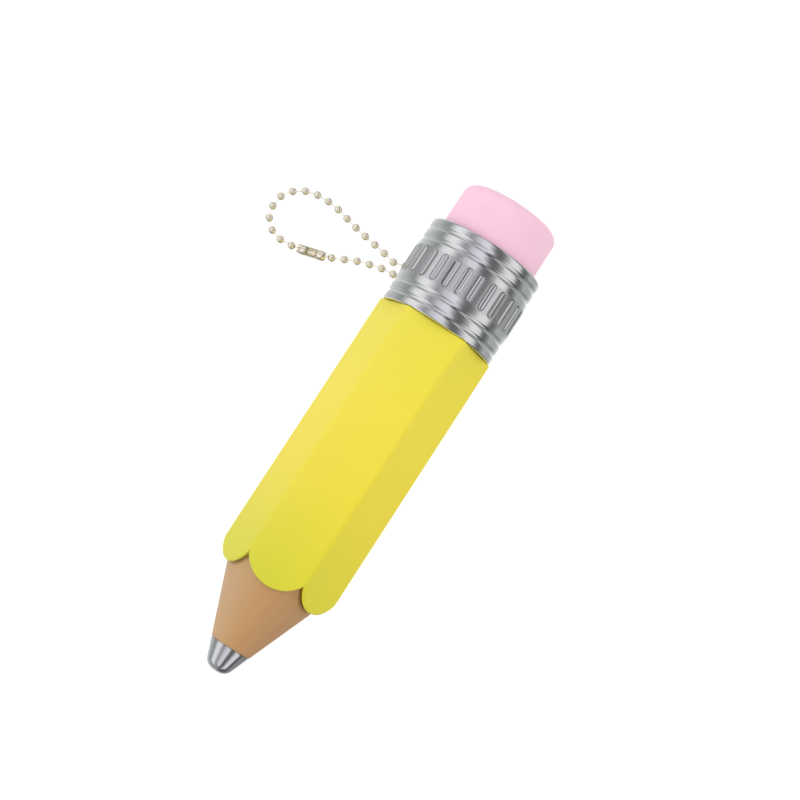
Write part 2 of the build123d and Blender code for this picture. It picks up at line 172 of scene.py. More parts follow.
def add_world():
    """Studio of long softboxes and grey cards beside the pencil, and darker beyond its two ends."""
    world = bpy.data.worlds.new("studio")
    bpy.context.scene.world = world
    world.use_nodes = True
    tree = world.node_tree
    tree.nodes.clear()

    def combine(operation, *values):
        """Output of a maths node that takes sockets and plain numbers."""
        node = tree.nodes.new("ShaderNodeMath")
        node.operation = operation
        for socket, value in zip(node.inputs, values):
            if isinstance(value, (int, float)):
                socket.default_value = value
            else:
                tree.links.new(value, socket)
        return node.outputs[0]

    def soft_step(value, start, end, before, after):
        """Output that goes smoothly from one level to another while a value runs from start to end."""
        node = tree.nodes.new("ShaderNodeMapRange")
        node.interpolation_type = "SMOOTHSTEP"
        node.inputs["From Min"].default_value = start
        node.inputs["From Max"].default_value = end
        node.inputs["To Min"].default_value = before
        node.inputs["To Max"].default_value = after
        tree.links.new(value, node.inputs["Value"])
        return node.outputs[0]

    place = tree.nodes.new("ShaderNodeTexCoord")
    split = tree.nodes.new("ShaderNodeSeparateXYZ")
    tree.links.new(place.outputs["Generated"], split.inputs[0])
    angle = combine("ARCTAN2", split.outputs["Y"], split.outputs["Z"])
    turn = combine("MULTIPLY_ADD", combine("MAXIMUM", angle, 0.0), STUDIO_SPLAY, STUDIO_SKEW)
    share = tree.nodes.new("ShaderNodeMapRange")
    share.inputs["From Min"].default_value = -math.pi
    share.inputs["From Max"].default_value = math.pi
    tree.links.new(combine("MULTIPLY_ADD", split.outputs["X"], turn, angle), share.inputs["Value"])
    ramp = tree.nodes.new("ShaderNodeValToRGB")
    ramp.color_ramp.interpolation = "EASE"
    stops = ramp.color_ramp.elements
    stops.remove(stops[-1])
    for index, (degrees, level) in enumerate(STUDIO):
        stop = stops[0] if index == 0 else stops.new((degrees + 180) / 360)
        stop.position = (degrees + 180) / 360
        stop.color = studio_colour(degrees, level)
    tree.links.new(share.outputs[0], ramp.inputs[0])
    level = soft_step(combine("ABSOLUTE", split.outputs["X"]), ENDS_FROM, 1.0, 1.0, ENDS_LEVEL)
    for way, edge, middle, left in CARDS:
        towards = tree.nodes.new("ShaderNodeVectorMath")
        towards.operation = "DOT_PRODUCT"
        towards.inputs[1].default_value = way
        tree.links.new(place.outputs["Generated"], towards.inputs[0])
        level = combine("MULTIPLY", level, soft_step(towards.outputs["Value"], edge, middle, 1.0, left))
    light = tree.nodes.new("ShaderNodeBackground")
    tree.links.new(ramp.outputs[0], light.inputs["Color"])
    tree.links.new(level, light.inputs["Strength"])
    output = tree.nodes.new("ShaderNodeOutputWorld")
    tree.links.new(light.outputs[0], output.inputs["Surface"])


def add_softbox(name, place, width, depth, power):
    """Large soft lamp aimed at the pencil; reflections show the studio's cards instead of it."""
    data = bpy.data.lights.new(name, "AREA")
    data.shape = "RECTANGLE"
    data.size = width
    data.size_y = depth
    data.energy = power
    light = bpy.data.objects.new(name, data)
    light.location = place
    light.rotation_euler = (-Vector(place)).to_track_quat("-Z", "Y").to_euler()
    light.visible_glossy = False
    bpy.context.collection.objects.link(light)


def add_floor():
    """Floor just under the part, which glows enough to end up plain white."""
    mesh = bpy.data.meshes.new("floor")
    half = 2.0
    corners = [(-half, -half, 0), (half, -half, 0), (half, half, 0), (-half, half, 0)]
    mesh.from_pydata(corners, [], [(0, 1, 2, 3)])
    floor = bpy.data.objects.new("floor", mesh)
    floor.location.z = -0.02 * MM
    bpy.context.collection.objects.link(floor)
    material = bpy.data.materials.new("floor_white")
    material.use_nodes = True
    shader = material.node_tree.nodes["Principled BSDF"]
    shader.inputs["Base Color"].default_value = (0.35, 0.35, 0.35, 1)
    shader.inputs["Roughness"].default_value = 0.9
    shader.inputs["Specular IOR Level"].default_value = 0.1
    shader.inputs["Emission Color"].default_value = (1, 1, 1, 1)
    shader.inputs["Emission Strength"].default_value = 0.80
    mesh.materials.append(material)
    floor.visible_glossy = False


# ---- material helpers
class Shader:
    """A small wrapper round one material's node tree."""

    def __init__(self, name, colour, roughness, metallic=0.0):
        self.material = bpy.data.materials.new(name)
        self.material.use_nodes = True
        self.tree = self.material.node_tree
        self.bsdf = self.tree.nodes["Principled BSDF"]
        self.set("Base Color", (*colour, 1))
        self.set("Roughness", roughness)
        self.set("Metallic", metallic)

    def set(self, socket, value):
        self.bsdf.inputs[socket].default_value = value

    def node(self, kind):
        return self.tree.nodes.new(kind)

    def link(self, source, target):
        self.tree.links.new(source, target)

    def math(self, operation, first, second=None):
        node = self.node("ShaderNodeMath")
        node.operation = operation
        for socket, value in zip(node.inputs, (first, second)):
            if value is None:
                continue
            if isinstance(value, (int, float)):
                socket.default_value = value
            else:
                self.link(value, socket)
        return node.outputs[0]

    def painted_side_share(self, around, amount):
        """Share of painted side light or shade that grows to an amount at the far side, or at the near
        side when it is negative.
        """
        return self.math("MAXIMUM", self.math("MULTIPLY", self.math("SINE", around), amount), 0)

    def position(self):
        """Sockets with the place on the pencil: along it, round it (radians), and the plain vector."""
        place = self.node("ShaderNodeTexCoord")
        split = self.node("ShaderNodeSeparateXYZ")
        self.link(place.outputs["Object"], split.inputs[0])
        height = self.math("SUBTRACT", split.outputs["Z"], AXIS_Z)
        round_it = self.math("ARCTAN2", split.outputs["Y"], height)
        return split.outputs["X"], round_it, place.outputs["Object"]

    def noise(self, vector, scale, detail=2.0, roughness=0.5):
        node = self.node("ShaderNodeTexNoise")
        node.inputs["Scale"].default_value = scale
        node.inputs["Detail"].default_value = detail
        node.inputs["Roughness"].default_value = roughness
        self.link(vector, node.inputs["Vector"])
        return node.outputs["Fac"]

    def stretched(self, along, around, along_scale, around_scale):
        """A vector for marks that run mostly one way on a round piece."""
        combine = self.node("ShaderNodeCombineXYZ")
        self.link(self.math("MULTIPLY", along, along_scale), combine.inputs[0])
        turned_sine = self.math("MULTIPLY", self.math("SINE", around), around_scale)
        turned_cosine = self.math("MULTIPLY", self.math("COSINE", around), around_scale)
        self.link(turned_sine, combine.inputs[1])
        self.link(turned_cosine, combine.inputs[2])
        return combine.outputs[0]

    def ramp(self, value, *stops):
        """Colour ramp from (place, colour) stops."""
        node = self.node("ShaderNodeValToRGB")
        elements = node.color_ramp.elements
        while len(elements) > 1:
            elements.remove(elements[-1])
        for index, (place, colour) in enumerate(stops):
            element = elements[0] if index == 0 else elements.new(place)
            element.position = place
            element.color = (*colour, 1)
        self.link(value, node.inputs[0])
        return node.outputs[0]

    def mix(self, factor, first, second):
        node = self.node("ShaderNodeMix")
        node.data_type = "RGBA"
        sockets = (node.inputs[0], node.inputs[6], node.inputs[7])
        for socket, value in zip(sockets, (factor, first, second)):
            if isinstance(value, tuple):
                socket.default_value = (*value, 1)
            elif isinstance(value, (int, float)):
                socket.default_value = value
            else:
                self.link(value, socket)
        return node.outputs[2]

    def bump_from(self, height, strength, distance):
        node = self.node("ShaderNodeBump")
        node.inputs["Strength"].default_value = strength
        node.inputs["Distance"].default_value = distance
        self.link(height, node.inputs["Height"])
        self.link(node.outputs[0], self.bsdf.inputs["Normal"])

    def colour_from(self, tone):
        self.link(tone, self.bsdf.inputs["Base Color"])

    def roughness_from(self, value, low, high):
        node = self.node("ShaderNodeMapRange")
        node.inputs["To Min"].default_value = low
        node.inputs["To Max"].default_value = high
        self.link(value, node.inputs["Value"])
        self.link(node.outputs[0], self.bsdf.inputs["Roughness"])


# ---- materials
def yellow_material():
    """Soft-touch yellow, fine tooth, faint mottling; greener and darker near the nose from painted shade,
    paler on the far side from a painted sheen.
    """
    shader = Shader("yellow_soft_touch", (0.86, 0.70, 0.07), 0.55)
    along, around, place = shader.position()
    span = shader.node("ShaderNodeMapRange")
    span.inputs["From Min"].default_value = TONGUE_X
    span.inputs["From Max"].default_value = FERRULE_X
    shader.link(along, span.inputs["Value"])
    # Painted shade along the barrel: darker and greener towards the nose, and a shade darker again by the
    # ferrule
    tone = shader.ramp(
        span.outputs[0],
        (0.0, (0.60, 0.595, 0.026)),
        (0.12, (0.66, 0.615, 0.030)),
        (0.36, (0.785, 0.655, 0.040)),
        (0.65, (0.825, 0.685, 0.050)),
        (1.0, (0.775, 0.685, 0.052)),
    )
    mottle = shader.noise(place, 120, 3)
    tone = shader.mix(shader.math("MULTIPLY", mottle, 0.06), tone, (0.93, 0.80, 0.16))
    # Painted sheen: paler and whiter on the far side
    tone = shader.mix(shader.painted_side_share(around, 0.07), tone, (0.90, 0.80, 0.40))
    # Painted shade: a deeper, less whitened yellow on the near side
    tone = shader.mix(shader.painted_side_share(around, -0.35), tone, (0.83, 0.67, 0.012))
    shader.colour_from(tone)
    tooth = shader.noise(place, 9000, 2)
    shader.bump_from(tooth, 0.10, 0.02 * MM)
    shader.roughness_from(shader.noise(place, 300, 2), 0.50, 0.62)
    shader.set("Specular IOR Level", 0.35)
    shader.set("Sheen Weight", 0.06)
    shader.set("Sheen Roughness", 0.4)
    return shader.material


# The painted shadow under the tongues deepens from this far before their edge to this far behind it
TONGUE_SHADOW_START = -0.55 * MM
TONGUE_SHADOW_END = 0.45 * MM


def painted_tongue_shadow(shader, along, around):
    """Painted shadow in the crevice along the tongues' edge, wider and deeper on the near side; 0 in the
    open.
    """
    from_face = shader.node("ShaderNodeMath")
    from_face.operation = "WRAP"
    shader.link(around, from_face.inputs[0])
    from_face.inputs[1].default_value = SIXTH / 2
    from_face.inputs[2].default_value = -SIXTH / 2
    offset = shader.math("MULTIPLY", shader.math("TANGENT", from_face.outputs[0]), OUTER_APOTHEM)
    rise = shader.math("SUBTRACT", TONGUE_RADIUS ** 2, shader.math("MULTIPLY", offset, offset))
    edge = shader.math("SUBTRACT", TONGUE_X + TONGUE_RADIUS, shader.math("SQRT", rise))
    near = shader.node("ShaderNodeMapRange")
    near.interpolation_type = "SMOOTHSTEP"
    near.inputs["From Min"].default_value = TONGUE_SHADOW_START
    near.inputs["From Max"].default_value = TONGUE_SHADOW_END
    near_side = shader.math("MINIMUM", shader.math("SINE", around), 0)
    narrowing = shader.math("ADD", 1, shader.math("MULTIPLY", near_side, 0.6))
    past_edge = shader.math("SUBTRACT", along, edge)
    shader.link(shader.math("MULTIPLY", past_edge, narrowing), near.inputs["Value"])
    depth = shader.math("ADD", 0.30, shader.math("MULTIPLY", near_side, -0.75))
    return shader.math("MULTIPLY", near.outputs[0], depth)


def tan_material():
    """Wood-coloured matte plastic with a faint grain, a painted sheen on its far side, and painted shade
    on its near side.
    """
    shader = Shader("tan_cone", (0.52, 0.31, 0.165), 0.5)
    along, around, _ = shader.position()
    grain = shader.noise(shader.stretched(along, around, 60, 26), 1.0, 5, 0.6)
    fine = shader.noise(shader.stretched(along, around, 250, 90), 1.0, 3, 0.6)
    tone = shader.ramp(
        grain,
        (0.25, (0.495, 0.268, 0.112)),
        (0.55, (0.520, 0.288, 0.122)),
        (0.80, (0.540, 0.305, 0.134)),
    )
    tone = shader.mix(shader.math("MULTIPLY", fine, 0.08), tone, (0.40, 0.22, 0.10))
    # Painted sheen: paler and whiter on the far side
    tone = shader.mix(shader.painted_side_share(around, 0.50), tone, (0.545, 0.405, 0.250))
    # Painted shade: darker on the near side
    tone = shader.mix(shader.painted_side_share(around, -0.28), tone, (0.370, 0.190, 0.085))
    # Painted shadow, dark brown, on the cone along the tongues' edge
    tone = shader.mix(painted_tongue_shadow(shader, along, around), tone, (0.19, 0.06, 0.004))
    shader.colour_from(tone)
    shader.bump_from(fine, 0.06, 0.03 * MM)
    shader.roughness_from(grain, 0.42, 0.58)
    shader.set("Specular IOR Level", 0.4)
    return shader.material


def turned_metal(name, colour, roughness, mark=0.06):
    """Bare metal from a lathe: fine rings that break up the reflections."""
    shader = Shader(name, colour, roughness, 1.0)
    along, around, place = shader.position()
    rings = shader.noise(shader.stretched(along, around, 9000, 2.0), 1.0, 3, 0.6)
    smear = shader.noise(place, 260, 3)
    shader.bump_from(rings, mark, 0.02 * MM)
    shader.roughness_from(smear, roughness * 0.8, roughness * 1.35)
    dull = tuple(part * 0.72 for part in colour)
    tone = shader.mix(shader.math("MULTIPLY", rings, 0.16), colour, dull)
    shader.colour_from(tone)
    return shader.material


def band_metal():
    """Satin metal of the slotted band, brushed along the pencil."""
    shader = Shader("satin_band", (0.66, 0.66, 0.68), 0.25, 1.0)
    along, around, _ = shader.position()
    strokes = shader.noise(shader.stretched(along, around, 140, 260), 1.0, 4, 0.65)
    shader.bump_from(strokes, 0.20, 0.03 * MM)
    tone = shader.ramp(strokes, (0.3, (0.56, 0.56, 0.58)), (0.7, (0.72, 0.72, 0.74)))
    shader.colour_from(tone)
    shader.roughness_from(strokes, 0.20, 0.32)
    return shader.material


def slot_metal():
    """Smoother burnished hollow of the slots."""
    shader = Shader("slot_hollow", (0.64, 0.64, 0.65), 0.19, 1.0)
    along, around, _ = shader.position()
    strokes = shader.noise(shader.stretched(along, around, 160, 420), 1.0, 4, 0.65)
    shader.bump_from(strokes, 0.08, 0.03 * MM)
    tone = shader.ramp(strokes, (0.3, (0.56, 0.56, 0.57)), (0.7, (0.71, 0.71, 0.72)))
    shader.colour_from(tone)
    return shader.material


def slot_rim_shade_metal():
    """Painted shade: dull dark metal on the rim where each slot is pressed in."""
    shader = Shader("slot_rim_painted_shade", (0.24, 0.24, 0.25), 0.45, 1.0)
    _, _, place = shader.position()
    strokes = shader.noise(place, 1800, 3)
    tone = shader.ramp(strokes, (0.3, (0.17, 0.17, 0.18)), (0.7, (0.32, 0.32, 0.33)))
    shader.colour_from(tone)
    shader.roughness_from(strokes, 0.35, 0.55)
    return shader.material


def eraser_material():
    """Pale pink rubber with a dusty bloom and fine pores."""
    shader = Shader("pink_rubber", (0.90, 0.545, 0.665), 0.62)
    _, _, place = shader.position()
    cloud = shader.noise(place, 90, 4, 0.6)
    tone = shader.ramp(
        cloud,
        (0.30, (0.885, 0.545, 0.668)),
        (0.60, (0.900, 0.568, 0.692)),
        (0.80, (0.920, 0.610, 0.730)),
    )
    shader.colour_from(tone)
    pores = shader.noise(place, 2600, 3, 0.7)
    shader.bump_from(pores, 0.16, 0.05 * MM)
    shader.roughness_from(cloud, 0.55, 0.72)
    shader.set("Specular IOR Level", 0.3)
    shader.set("Subsurface Weight", 0.12)
    shader.set("Subsurface Radius", (1.0 * MM, 0.45 * MM, 0.5 * MM))
    shader.set("Sheen Weight", 0.08)
    return shader.material


def chain_metal():
    """Warm nickel plate of the chain, with fine uneven wear."""
    shader = Shader("warm_nickel", (0.98, 0.92, 0.78), 0.08, 0.86)
    _, _, place = shader.position()
    wear = shader.noise(place, 1400, 3)
    tone = shader.ramp(wear, (0.35, (0.97, 0.88, 0.66)), (0.65, (1.0, 0.97, 0.86)))
    shader.colour_from(tone)
    shader.roughness_from(wear, 0.04, 0.10)
    return shader.material


def moulded_plastic(name, colour, roughness=0.35):
    """Moulded plastic with a faint spark-eroded tooth."""
    shader = Shader(name, colour, roughness)
    _, _, place = shader.position()
    tooth = shader.noise(place, 3000, 2)
    shader.bump_from(tooth, 0.08, 0.02 * MM)
    cloud = shader.noise(place, 150, 2)
    dull = tuple(part * 0.85 for part in colour)
    tone = shader.mix(shader.math("MULTIPLY", cloud, 0.12), colour, dull)
    shader.colour_from(tone)
    shader.roughness_from(cloud, roughness * 0.85, roughness * 1.2)
    return shader.material


def graphite_material():
    """Grey-black lead with a greasy shine."""
    shader = Shader("graphite", (0.035, 0.035, 0.038), 0.38, 0.25)
    along, around, _ = shader.position()
    streak = shader.noise(shader.stretched(along, around, 300, 900), 1.0, 3)
    tone = shader.ramp(streak, (0.3, (0.025, 0.025, 0.027)), (0.7, (0.070, 0.070, 0.075)))
    shader.colour_from(tone)
    shader.bump_from(streak, 0.1, 0.02 * MM)
    return shader.material


# ---- mesh helpers
def on_pencil(x, radius, angle):
    """Point at a distance from the pencil's axis; the angle runs from straight up towards +Y."""
    return (x, radius * math.sin(angle), AXIS_Z + radius * math.cos(angle))


def rounded_outline(corners):
    """Outline of (x, radius) points, with an arc at each corner that has a third number, its radius."""
    steps = 18
    outline = []
    count = len(corners)
    for index, corner in enumerate(corners):
        here = Vector(corner[:2])
        size = corner[2] if len(corner) > 2 else 0
        if not size:
            outline.append(tuple(here))
            continue
        before = (Vector(corners[index - 1][:2]) - here).normalized()
        after = (Vector(corners[(index + 1) % count][:2]) - here).normalized()
        half = before.angle(after) / 2
        reach = size / math.tan(half)
        centre = here + (before + after).normalized() * (size / math.sin(half))
        start = here + before * reach - centre
        end = here + after * reach - centre
        sweep = start.angle_signed(end)
        for step in range(steps + 1):
            turned = Matrix.Rotation(-sweep * step / steps, 2) @ start
            outline.append(tuple(centre + turned))
    return outline


def new_piece(name, points, faces, materials, slots=None, sharp_degrees=35):
    """Object with welded points, outward faces, and smooth shading up to an angle."""
    mesh = bpy.data.meshes.new(name)
    mesh.from_pydata(points, [], faces)
    if slots:
        mesh.polygons.foreach_set("material_index", slots)
    shape = bmesh.new()
    shape.from_mesh(mesh)
    bmesh.ops.remove_doubles(shape, verts=shape.verts, dist=0.0005 * MM)
    bmesh.ops.recalc_face_normals(shape, faces=shape.faces)
    for face in shape.faces:
        face.smooth = True
    limit = math.radians(sharp_degrees)
    for edge in shape.edges:
        if len(edge.link_faces) == 2 and edge.calc_face_angle() > limit:
            edge.smooth = False
    shape.to_mesh(mesh)
    shape.free()
    piece = bpy.data.objects.new(name, mesh)
    bpy.context.collection.objects.link(piece)
    for material in materials:
        mesh.materials.append(material)
    return piece


def joined_rings(rings, closed=False):
    """Points and faces of a skin over rings that all have as many points."""
    count = len(rings[0])
    points = [point for ring in rings for point in ring]
    faces = []
    last = len(rings) if closed else len(rings) - 1
    for row in range(last):
        start = row * count
        after = ((row + 1) % len(rings)) * count
        for step in range(count):
            beside = (step + 1) % count
            faces.append((start + step, start + beside, after + beside, after + step))
    return points, faces


def turned_piece(name, outline, material, segments=192):
    """Piece turned round the pencil's axis from a closed (x, radius) outline."""
    angles = [TAU * step / segments for step in range(segments)]
    rings = [[on_pencil(x, radius, angle) for angle in angles] for x, radius in outline]
    points, faces = joined_rings(rings, closed=True)
    return new_piece(name, points, faces, [material])


def ring_across(centre, ahead, side, radius, segments):
    """Ring of points round a centre, across a heading; it starts on the given side."""
    other = ahead.cross(side)
    ring = []
    for step in range(segments):
        angle = TAU * step / segments
        ring.append(tuple(centre + (side * math.cos(angle) + other * math.sin(angle)) * radius))
    return ring


def tube_rings(path, radius, segments):
    """Rings round a path of points, each turned as little as can be from the one before."""
    rings = []
    side = None
    for index, point in enumerate(path):
        before = path[max(index - 1, 0)]
        after = path[min(index + 1, len(path) - 1)]
        ahead = (after - before).normalized()
        if side is None:
            side = ahead.orthogonal().normalized()
        side = (side - ahead * side.dot(ahead)).normalized()
        rings.append(ring_across(point, ahead, side, radius, segments))
    return rings


# ---- the chain: its route is the CAD's, point for point
CHAIN_ROUTE = [
    (37.6, 46.6, 1.55),
    (36.55, 50.8, 1.4),
    (36.7, 56.6, 1.2),
    (40.4, 61.0, 1.2),
    (47.6, 61.8, 1.2),
    (53.4, 56.0, 1.2),
    (54.0, 46.8, 1.2),
    (51.3, 36.8, 1.2),
    (49.9, 27.0, 1.2),
    (48.3, 20.4, 1.2),
    (51.6, 16.8, 2.1),
    (50.0, 13.8, 4.2),
    (45.0, 13.8, 4.2),
    (43.4, 16.8, 2.1),
    (46.3, 20.4, 1.2),
    (45.3, 25.4, 1.2),
    (43.3, 32.4, 1.2),
    (40.2, 37.7, 1.4),
    (38.85, 41.9, 1.55),
]


def chain_line():
    """Points read from the smooth line through the chain's route."""
    data = bpy.data.curves.new("chain_route", "CURVE")
    data.dimensions = "3D"
    data.resolution_u = 24
    spline = data.splines.new("NURBS")
    spline.points.add(len(CHAIN_ROUTE) - 1)
    for point, place in zip(spline.points, CHAIN_ROUTE):
        point.co = (*(part * MM for part in place), 1)
    spline.order_u = 3
    spline.use_endpoint_u = True
    curve = bpy.data.objects.new("chain_route", data)
    bpy.context.collection.objects.link(curve)
    bpy.context.view_layer.update()
    mesh = bpy.data.meshes.new_from_object(curve)
    line = [vertex.co.copy() for vertex in mesh.vertices]
    bpy.data.objects.remove(curve)
    bpy.data.meshes.remove(mesh)
    return line


def walk(line):
    """Function that gives the point and heading at a distance along a line, and the line's length."""
    reached = [0.0]
    for before, after in zip(line, line[1:]):
        reached.append(reached[-1] + (after - before).length)

    def at(distance):
        distance = min(max(distance, 0.0), reached[-1])
        index = 0
        while index < len(line) - 2 and reached[index + 1] < distance:
            index += 1
        run = line[index + 1] - line[index]
        share = (distance - reached[index]) / max(run.length, 1e-9)
        return line[index] + run * share, run.normalized()

    return at, reached[-1]


def bead_rings(centre, ahead, segments=20, steps=11):
    """Hollow bead with a rolled hole at each end."""
    radius = CHAIN_DIAMETER / 2
    hole = 0.36 * MM
    reach = math.sqrt(radius ** 2 - hole ** 2)
    open_angle = math.acos(reach / radius)
    rim = [(reach - 0.06 * MM, hole * 0.82), (reach - 0.22 * MM, hole * 0.80)]
    outline = [(-along, out) for along, out in reversed(rim)]
    for step in range(steps + 1):
        angle = open_angle + (math.pi - 2 * open_angle) * step / steps
        outline.append((-radius * math.cos(angle), radius * math.sin(angle)))
    outline += rim
    side = ahead.orthogonal().normalized()
    return [ring_across(centre + ahead * along, ahead, side, out, segments) for along, out in outline]


def link_rings(start, end, segments=10):
    """Thin dumbbell pin between two beads."""
    thick = 0.12 * MM
    head = 0.26 * MM
    shares = [(0.0, head * 0.4), (0.04, head), (0.10, head), (0.15, thick)]
    shares += [(1 - share, radius) for share, radius in reversed(shares)]
    ahead = (end - start).normalized()
    side = ahead.orthogonal().normalized()
    return [ring_across(start.lerp(end, share), ahead, side, radius, segments) for share, radius in shares]


def make_chain(material):
    """Beads and links along the chain's line; also gives that line and its length."""
    line = chain_line()
    at, length = walk(line)
    gaps = round(length / BEAD_PITCH)
    pitch = length / gaps
    points = []
    faces = []

    def add(rings, closed):
        new_points, new_faces = joined_rings(rings, closed)
        base = len(points)
        points.extend(new_points)
        faces.extend(tuple(index + base for index in face) for face in new_faces)

    centres = [at(pitch * index) for index in range(gaps + 1)]
    for centre, ahead in centres:
        add(bead_rings(centre, ahead), True)
    inside = CHAIN_DIAMETER / 2 - 0.30 * MM
    for (first, _), (second, _) in zip(centres, centres[1:]):
        ahead = (second - first).normalized()
        rings = link_rings(first + ahead * inside, second - ahead * inside)
        add(rings, False)
        count = len(rings[0])
        end = len(points)
        faces.append(tuple(range(end - count, end)))
        start = end - count * len(rings)
        faces.append(tuple(reversed(range(start, start + count))))
    return new_piece("ball_chain_beads", points, faces, [material]), line, length


def make_connector(material, start, end):
    """Sheet-metal sleeve: a slit that opens into a window at its waist, and two pinched mouths."""
    ahead = (end - start).normalized()
    middle = (start + end) / 2
    sideways = ahead.cross(Vector((0, 0, 1))).normalized()
    upwards = sideways.cross(ahead)
    thickness = 0.22 * MM
    slit_degrees = 5
    window_degrees = 45
    window_end = 0.50
    window_fade = 0.12
    window_sink = 0.08 * MM
    mouth_start = 0.72
    mouth_pinch = 0.34 * MM
    rows = 36
    columns = 36
    rings = []
    for row in range(rows + 1):
        share = row / rows
        from_middle = abs(share - 0.5) * 2
        opened = min(max((window_end - from_middle) / window_fade, 0), 1)
        opened = opened * opened * (3 - 2 * opened)
        half_open = math.radians(slit_degrees + (window_degrees - slit_degrees) * opened)
        pinch = max(from_middle - mouth_start, 0) / (1 - mouth_start)
        radius = CONNECTOR_RADIUS - 0.02 * MM - mouth_pinch * pinch ** 2 - window_sink * opened
        ring_outer = []
        ring_inner = []
        for column in range(columns + 1):
            angle = half_open + (TAU - 2 * half_open) * column / columns
            out = sideways * math.sin(angle) + upwards * math.cos(angle)
            place = middle + ahead * (share - 0.5) * CONNECTOR_LENGTH
            ring_outer.append(tuple(place + out * radius))
            ring_inner.append(tuple(place + out * (radius - thickness)))
        rings.append(ring_outer + list(reversed(ring_inner)))
    points, faces = joined_rings(rings)
    count = len(rings[0])
    half = count // 2
    for row in (0, len(rings) - 1):
        base = row * count
        for column in range(half - 1):
            opposite = base + count - 1 - column
            faces.append((base + column, base + column + 1, opposite - 1, opposite))
    return new_piece("chain_connector_sleeve", points, faces, [material])


def make_lug(material):
    """Wire staple that the chain goes through."""
    spread = (LUG_GAP + LUG_WIRE) / 2
    root = FERRULE_RADIUS - LUG_ROOT
    top = FERRULE_RADIUS + LUG_HEIGHT + LUG_WIRE / 2
    straight = top - spread
    out = Vector((0, math.sin(LUG_ANGLE), math.cos(LUG_ANGLE)))
    aside = Vector((0, math.cos(LUG_ANGLE), -math.sin(LUG_ANGLE)))
    centre = Vector((LUG_X, 0, AXIS_Z))
    leg_steps = 6
    bow_steps = 24
    path = []
    for step in range(leg_steps):
        path.append(centre + aside * -spread + out * (root + (straight - root) * step / leg_steps))
    for step in range(bow_steps + 1):
        angle = math.pi * step / bow_steps
        height = straight + spread * math.sin(angle)
        path.append(centre + aside * (-spread * math.cos(angle)) + out * height)
    for step in range(1, leg_steps + 1):
        path.append(centre + aside * spread + out * (straight + (root - straight) * step / leg_steps))
    rings = tube_rings(path, LUG_WIRE / 2, 20)
    points, faces = joined_rings(rings)
    count = len(rings[0])
    faces.append(tuple(reversed(range(count))))
    faces.append(tuple(range(len(points) - count, len(points))))
    return new_piece("chain_staple", points, faces, [material])


# ---- the barrel
def tongue_edge(offset, inwards):
    """Station of the tongue's edge, or of a line inside it, at an offset from the face's middle."""
    centre = TONGUE_X + TONGUE_RADIUS
    return centre - math.sqrt(max((TONGUE_RADIUS - inwards) ** 2 - offset ** 2, 0))


def hexagon_points(apothem, edge_round, flat_steps=30, corner_steps=5):
    """Round the hexagon: each point's place across the pencil, and its offset from its face's middle."""
    half = apothem * math.tan(SIXTH / 2)
    flat_half = half - edge_round * math.tan(SIXTH / 2)
    scale = HALF_SIDE / half
    points = []
    for face in range(6):
        turn = SIXTH * face
        normal = Vector((math.sin(turn), math.cos(turn)))
        tangent = Vector((math.cos(turn), -math.sin(turn)))
        for step in range(flat_steps + 1):
            share = -1 + 2 * step / flat_steps
            offset = flat_half * share
            points.append((normal * apothem + tangent * offset, offset * scale))
        arc_centre = normal * (apothem - edge_round) + tangent * flat_half
        for step in range(1, corner_steps * 2):
            swing = SIXTH * step / (corner_steps * 2)
            out = normal * math.cos(swing) + tangent * math.sin(swing)
            arc = edge_round * min(swing, SIXTH - swing)
            offset = (flat_half + arc) * scale
            sign = 1 if step <= corner_steps else -1
            points.append((arc_centre + out * edge_round, sign * min(offset, HALF_SIDE)))
    return points


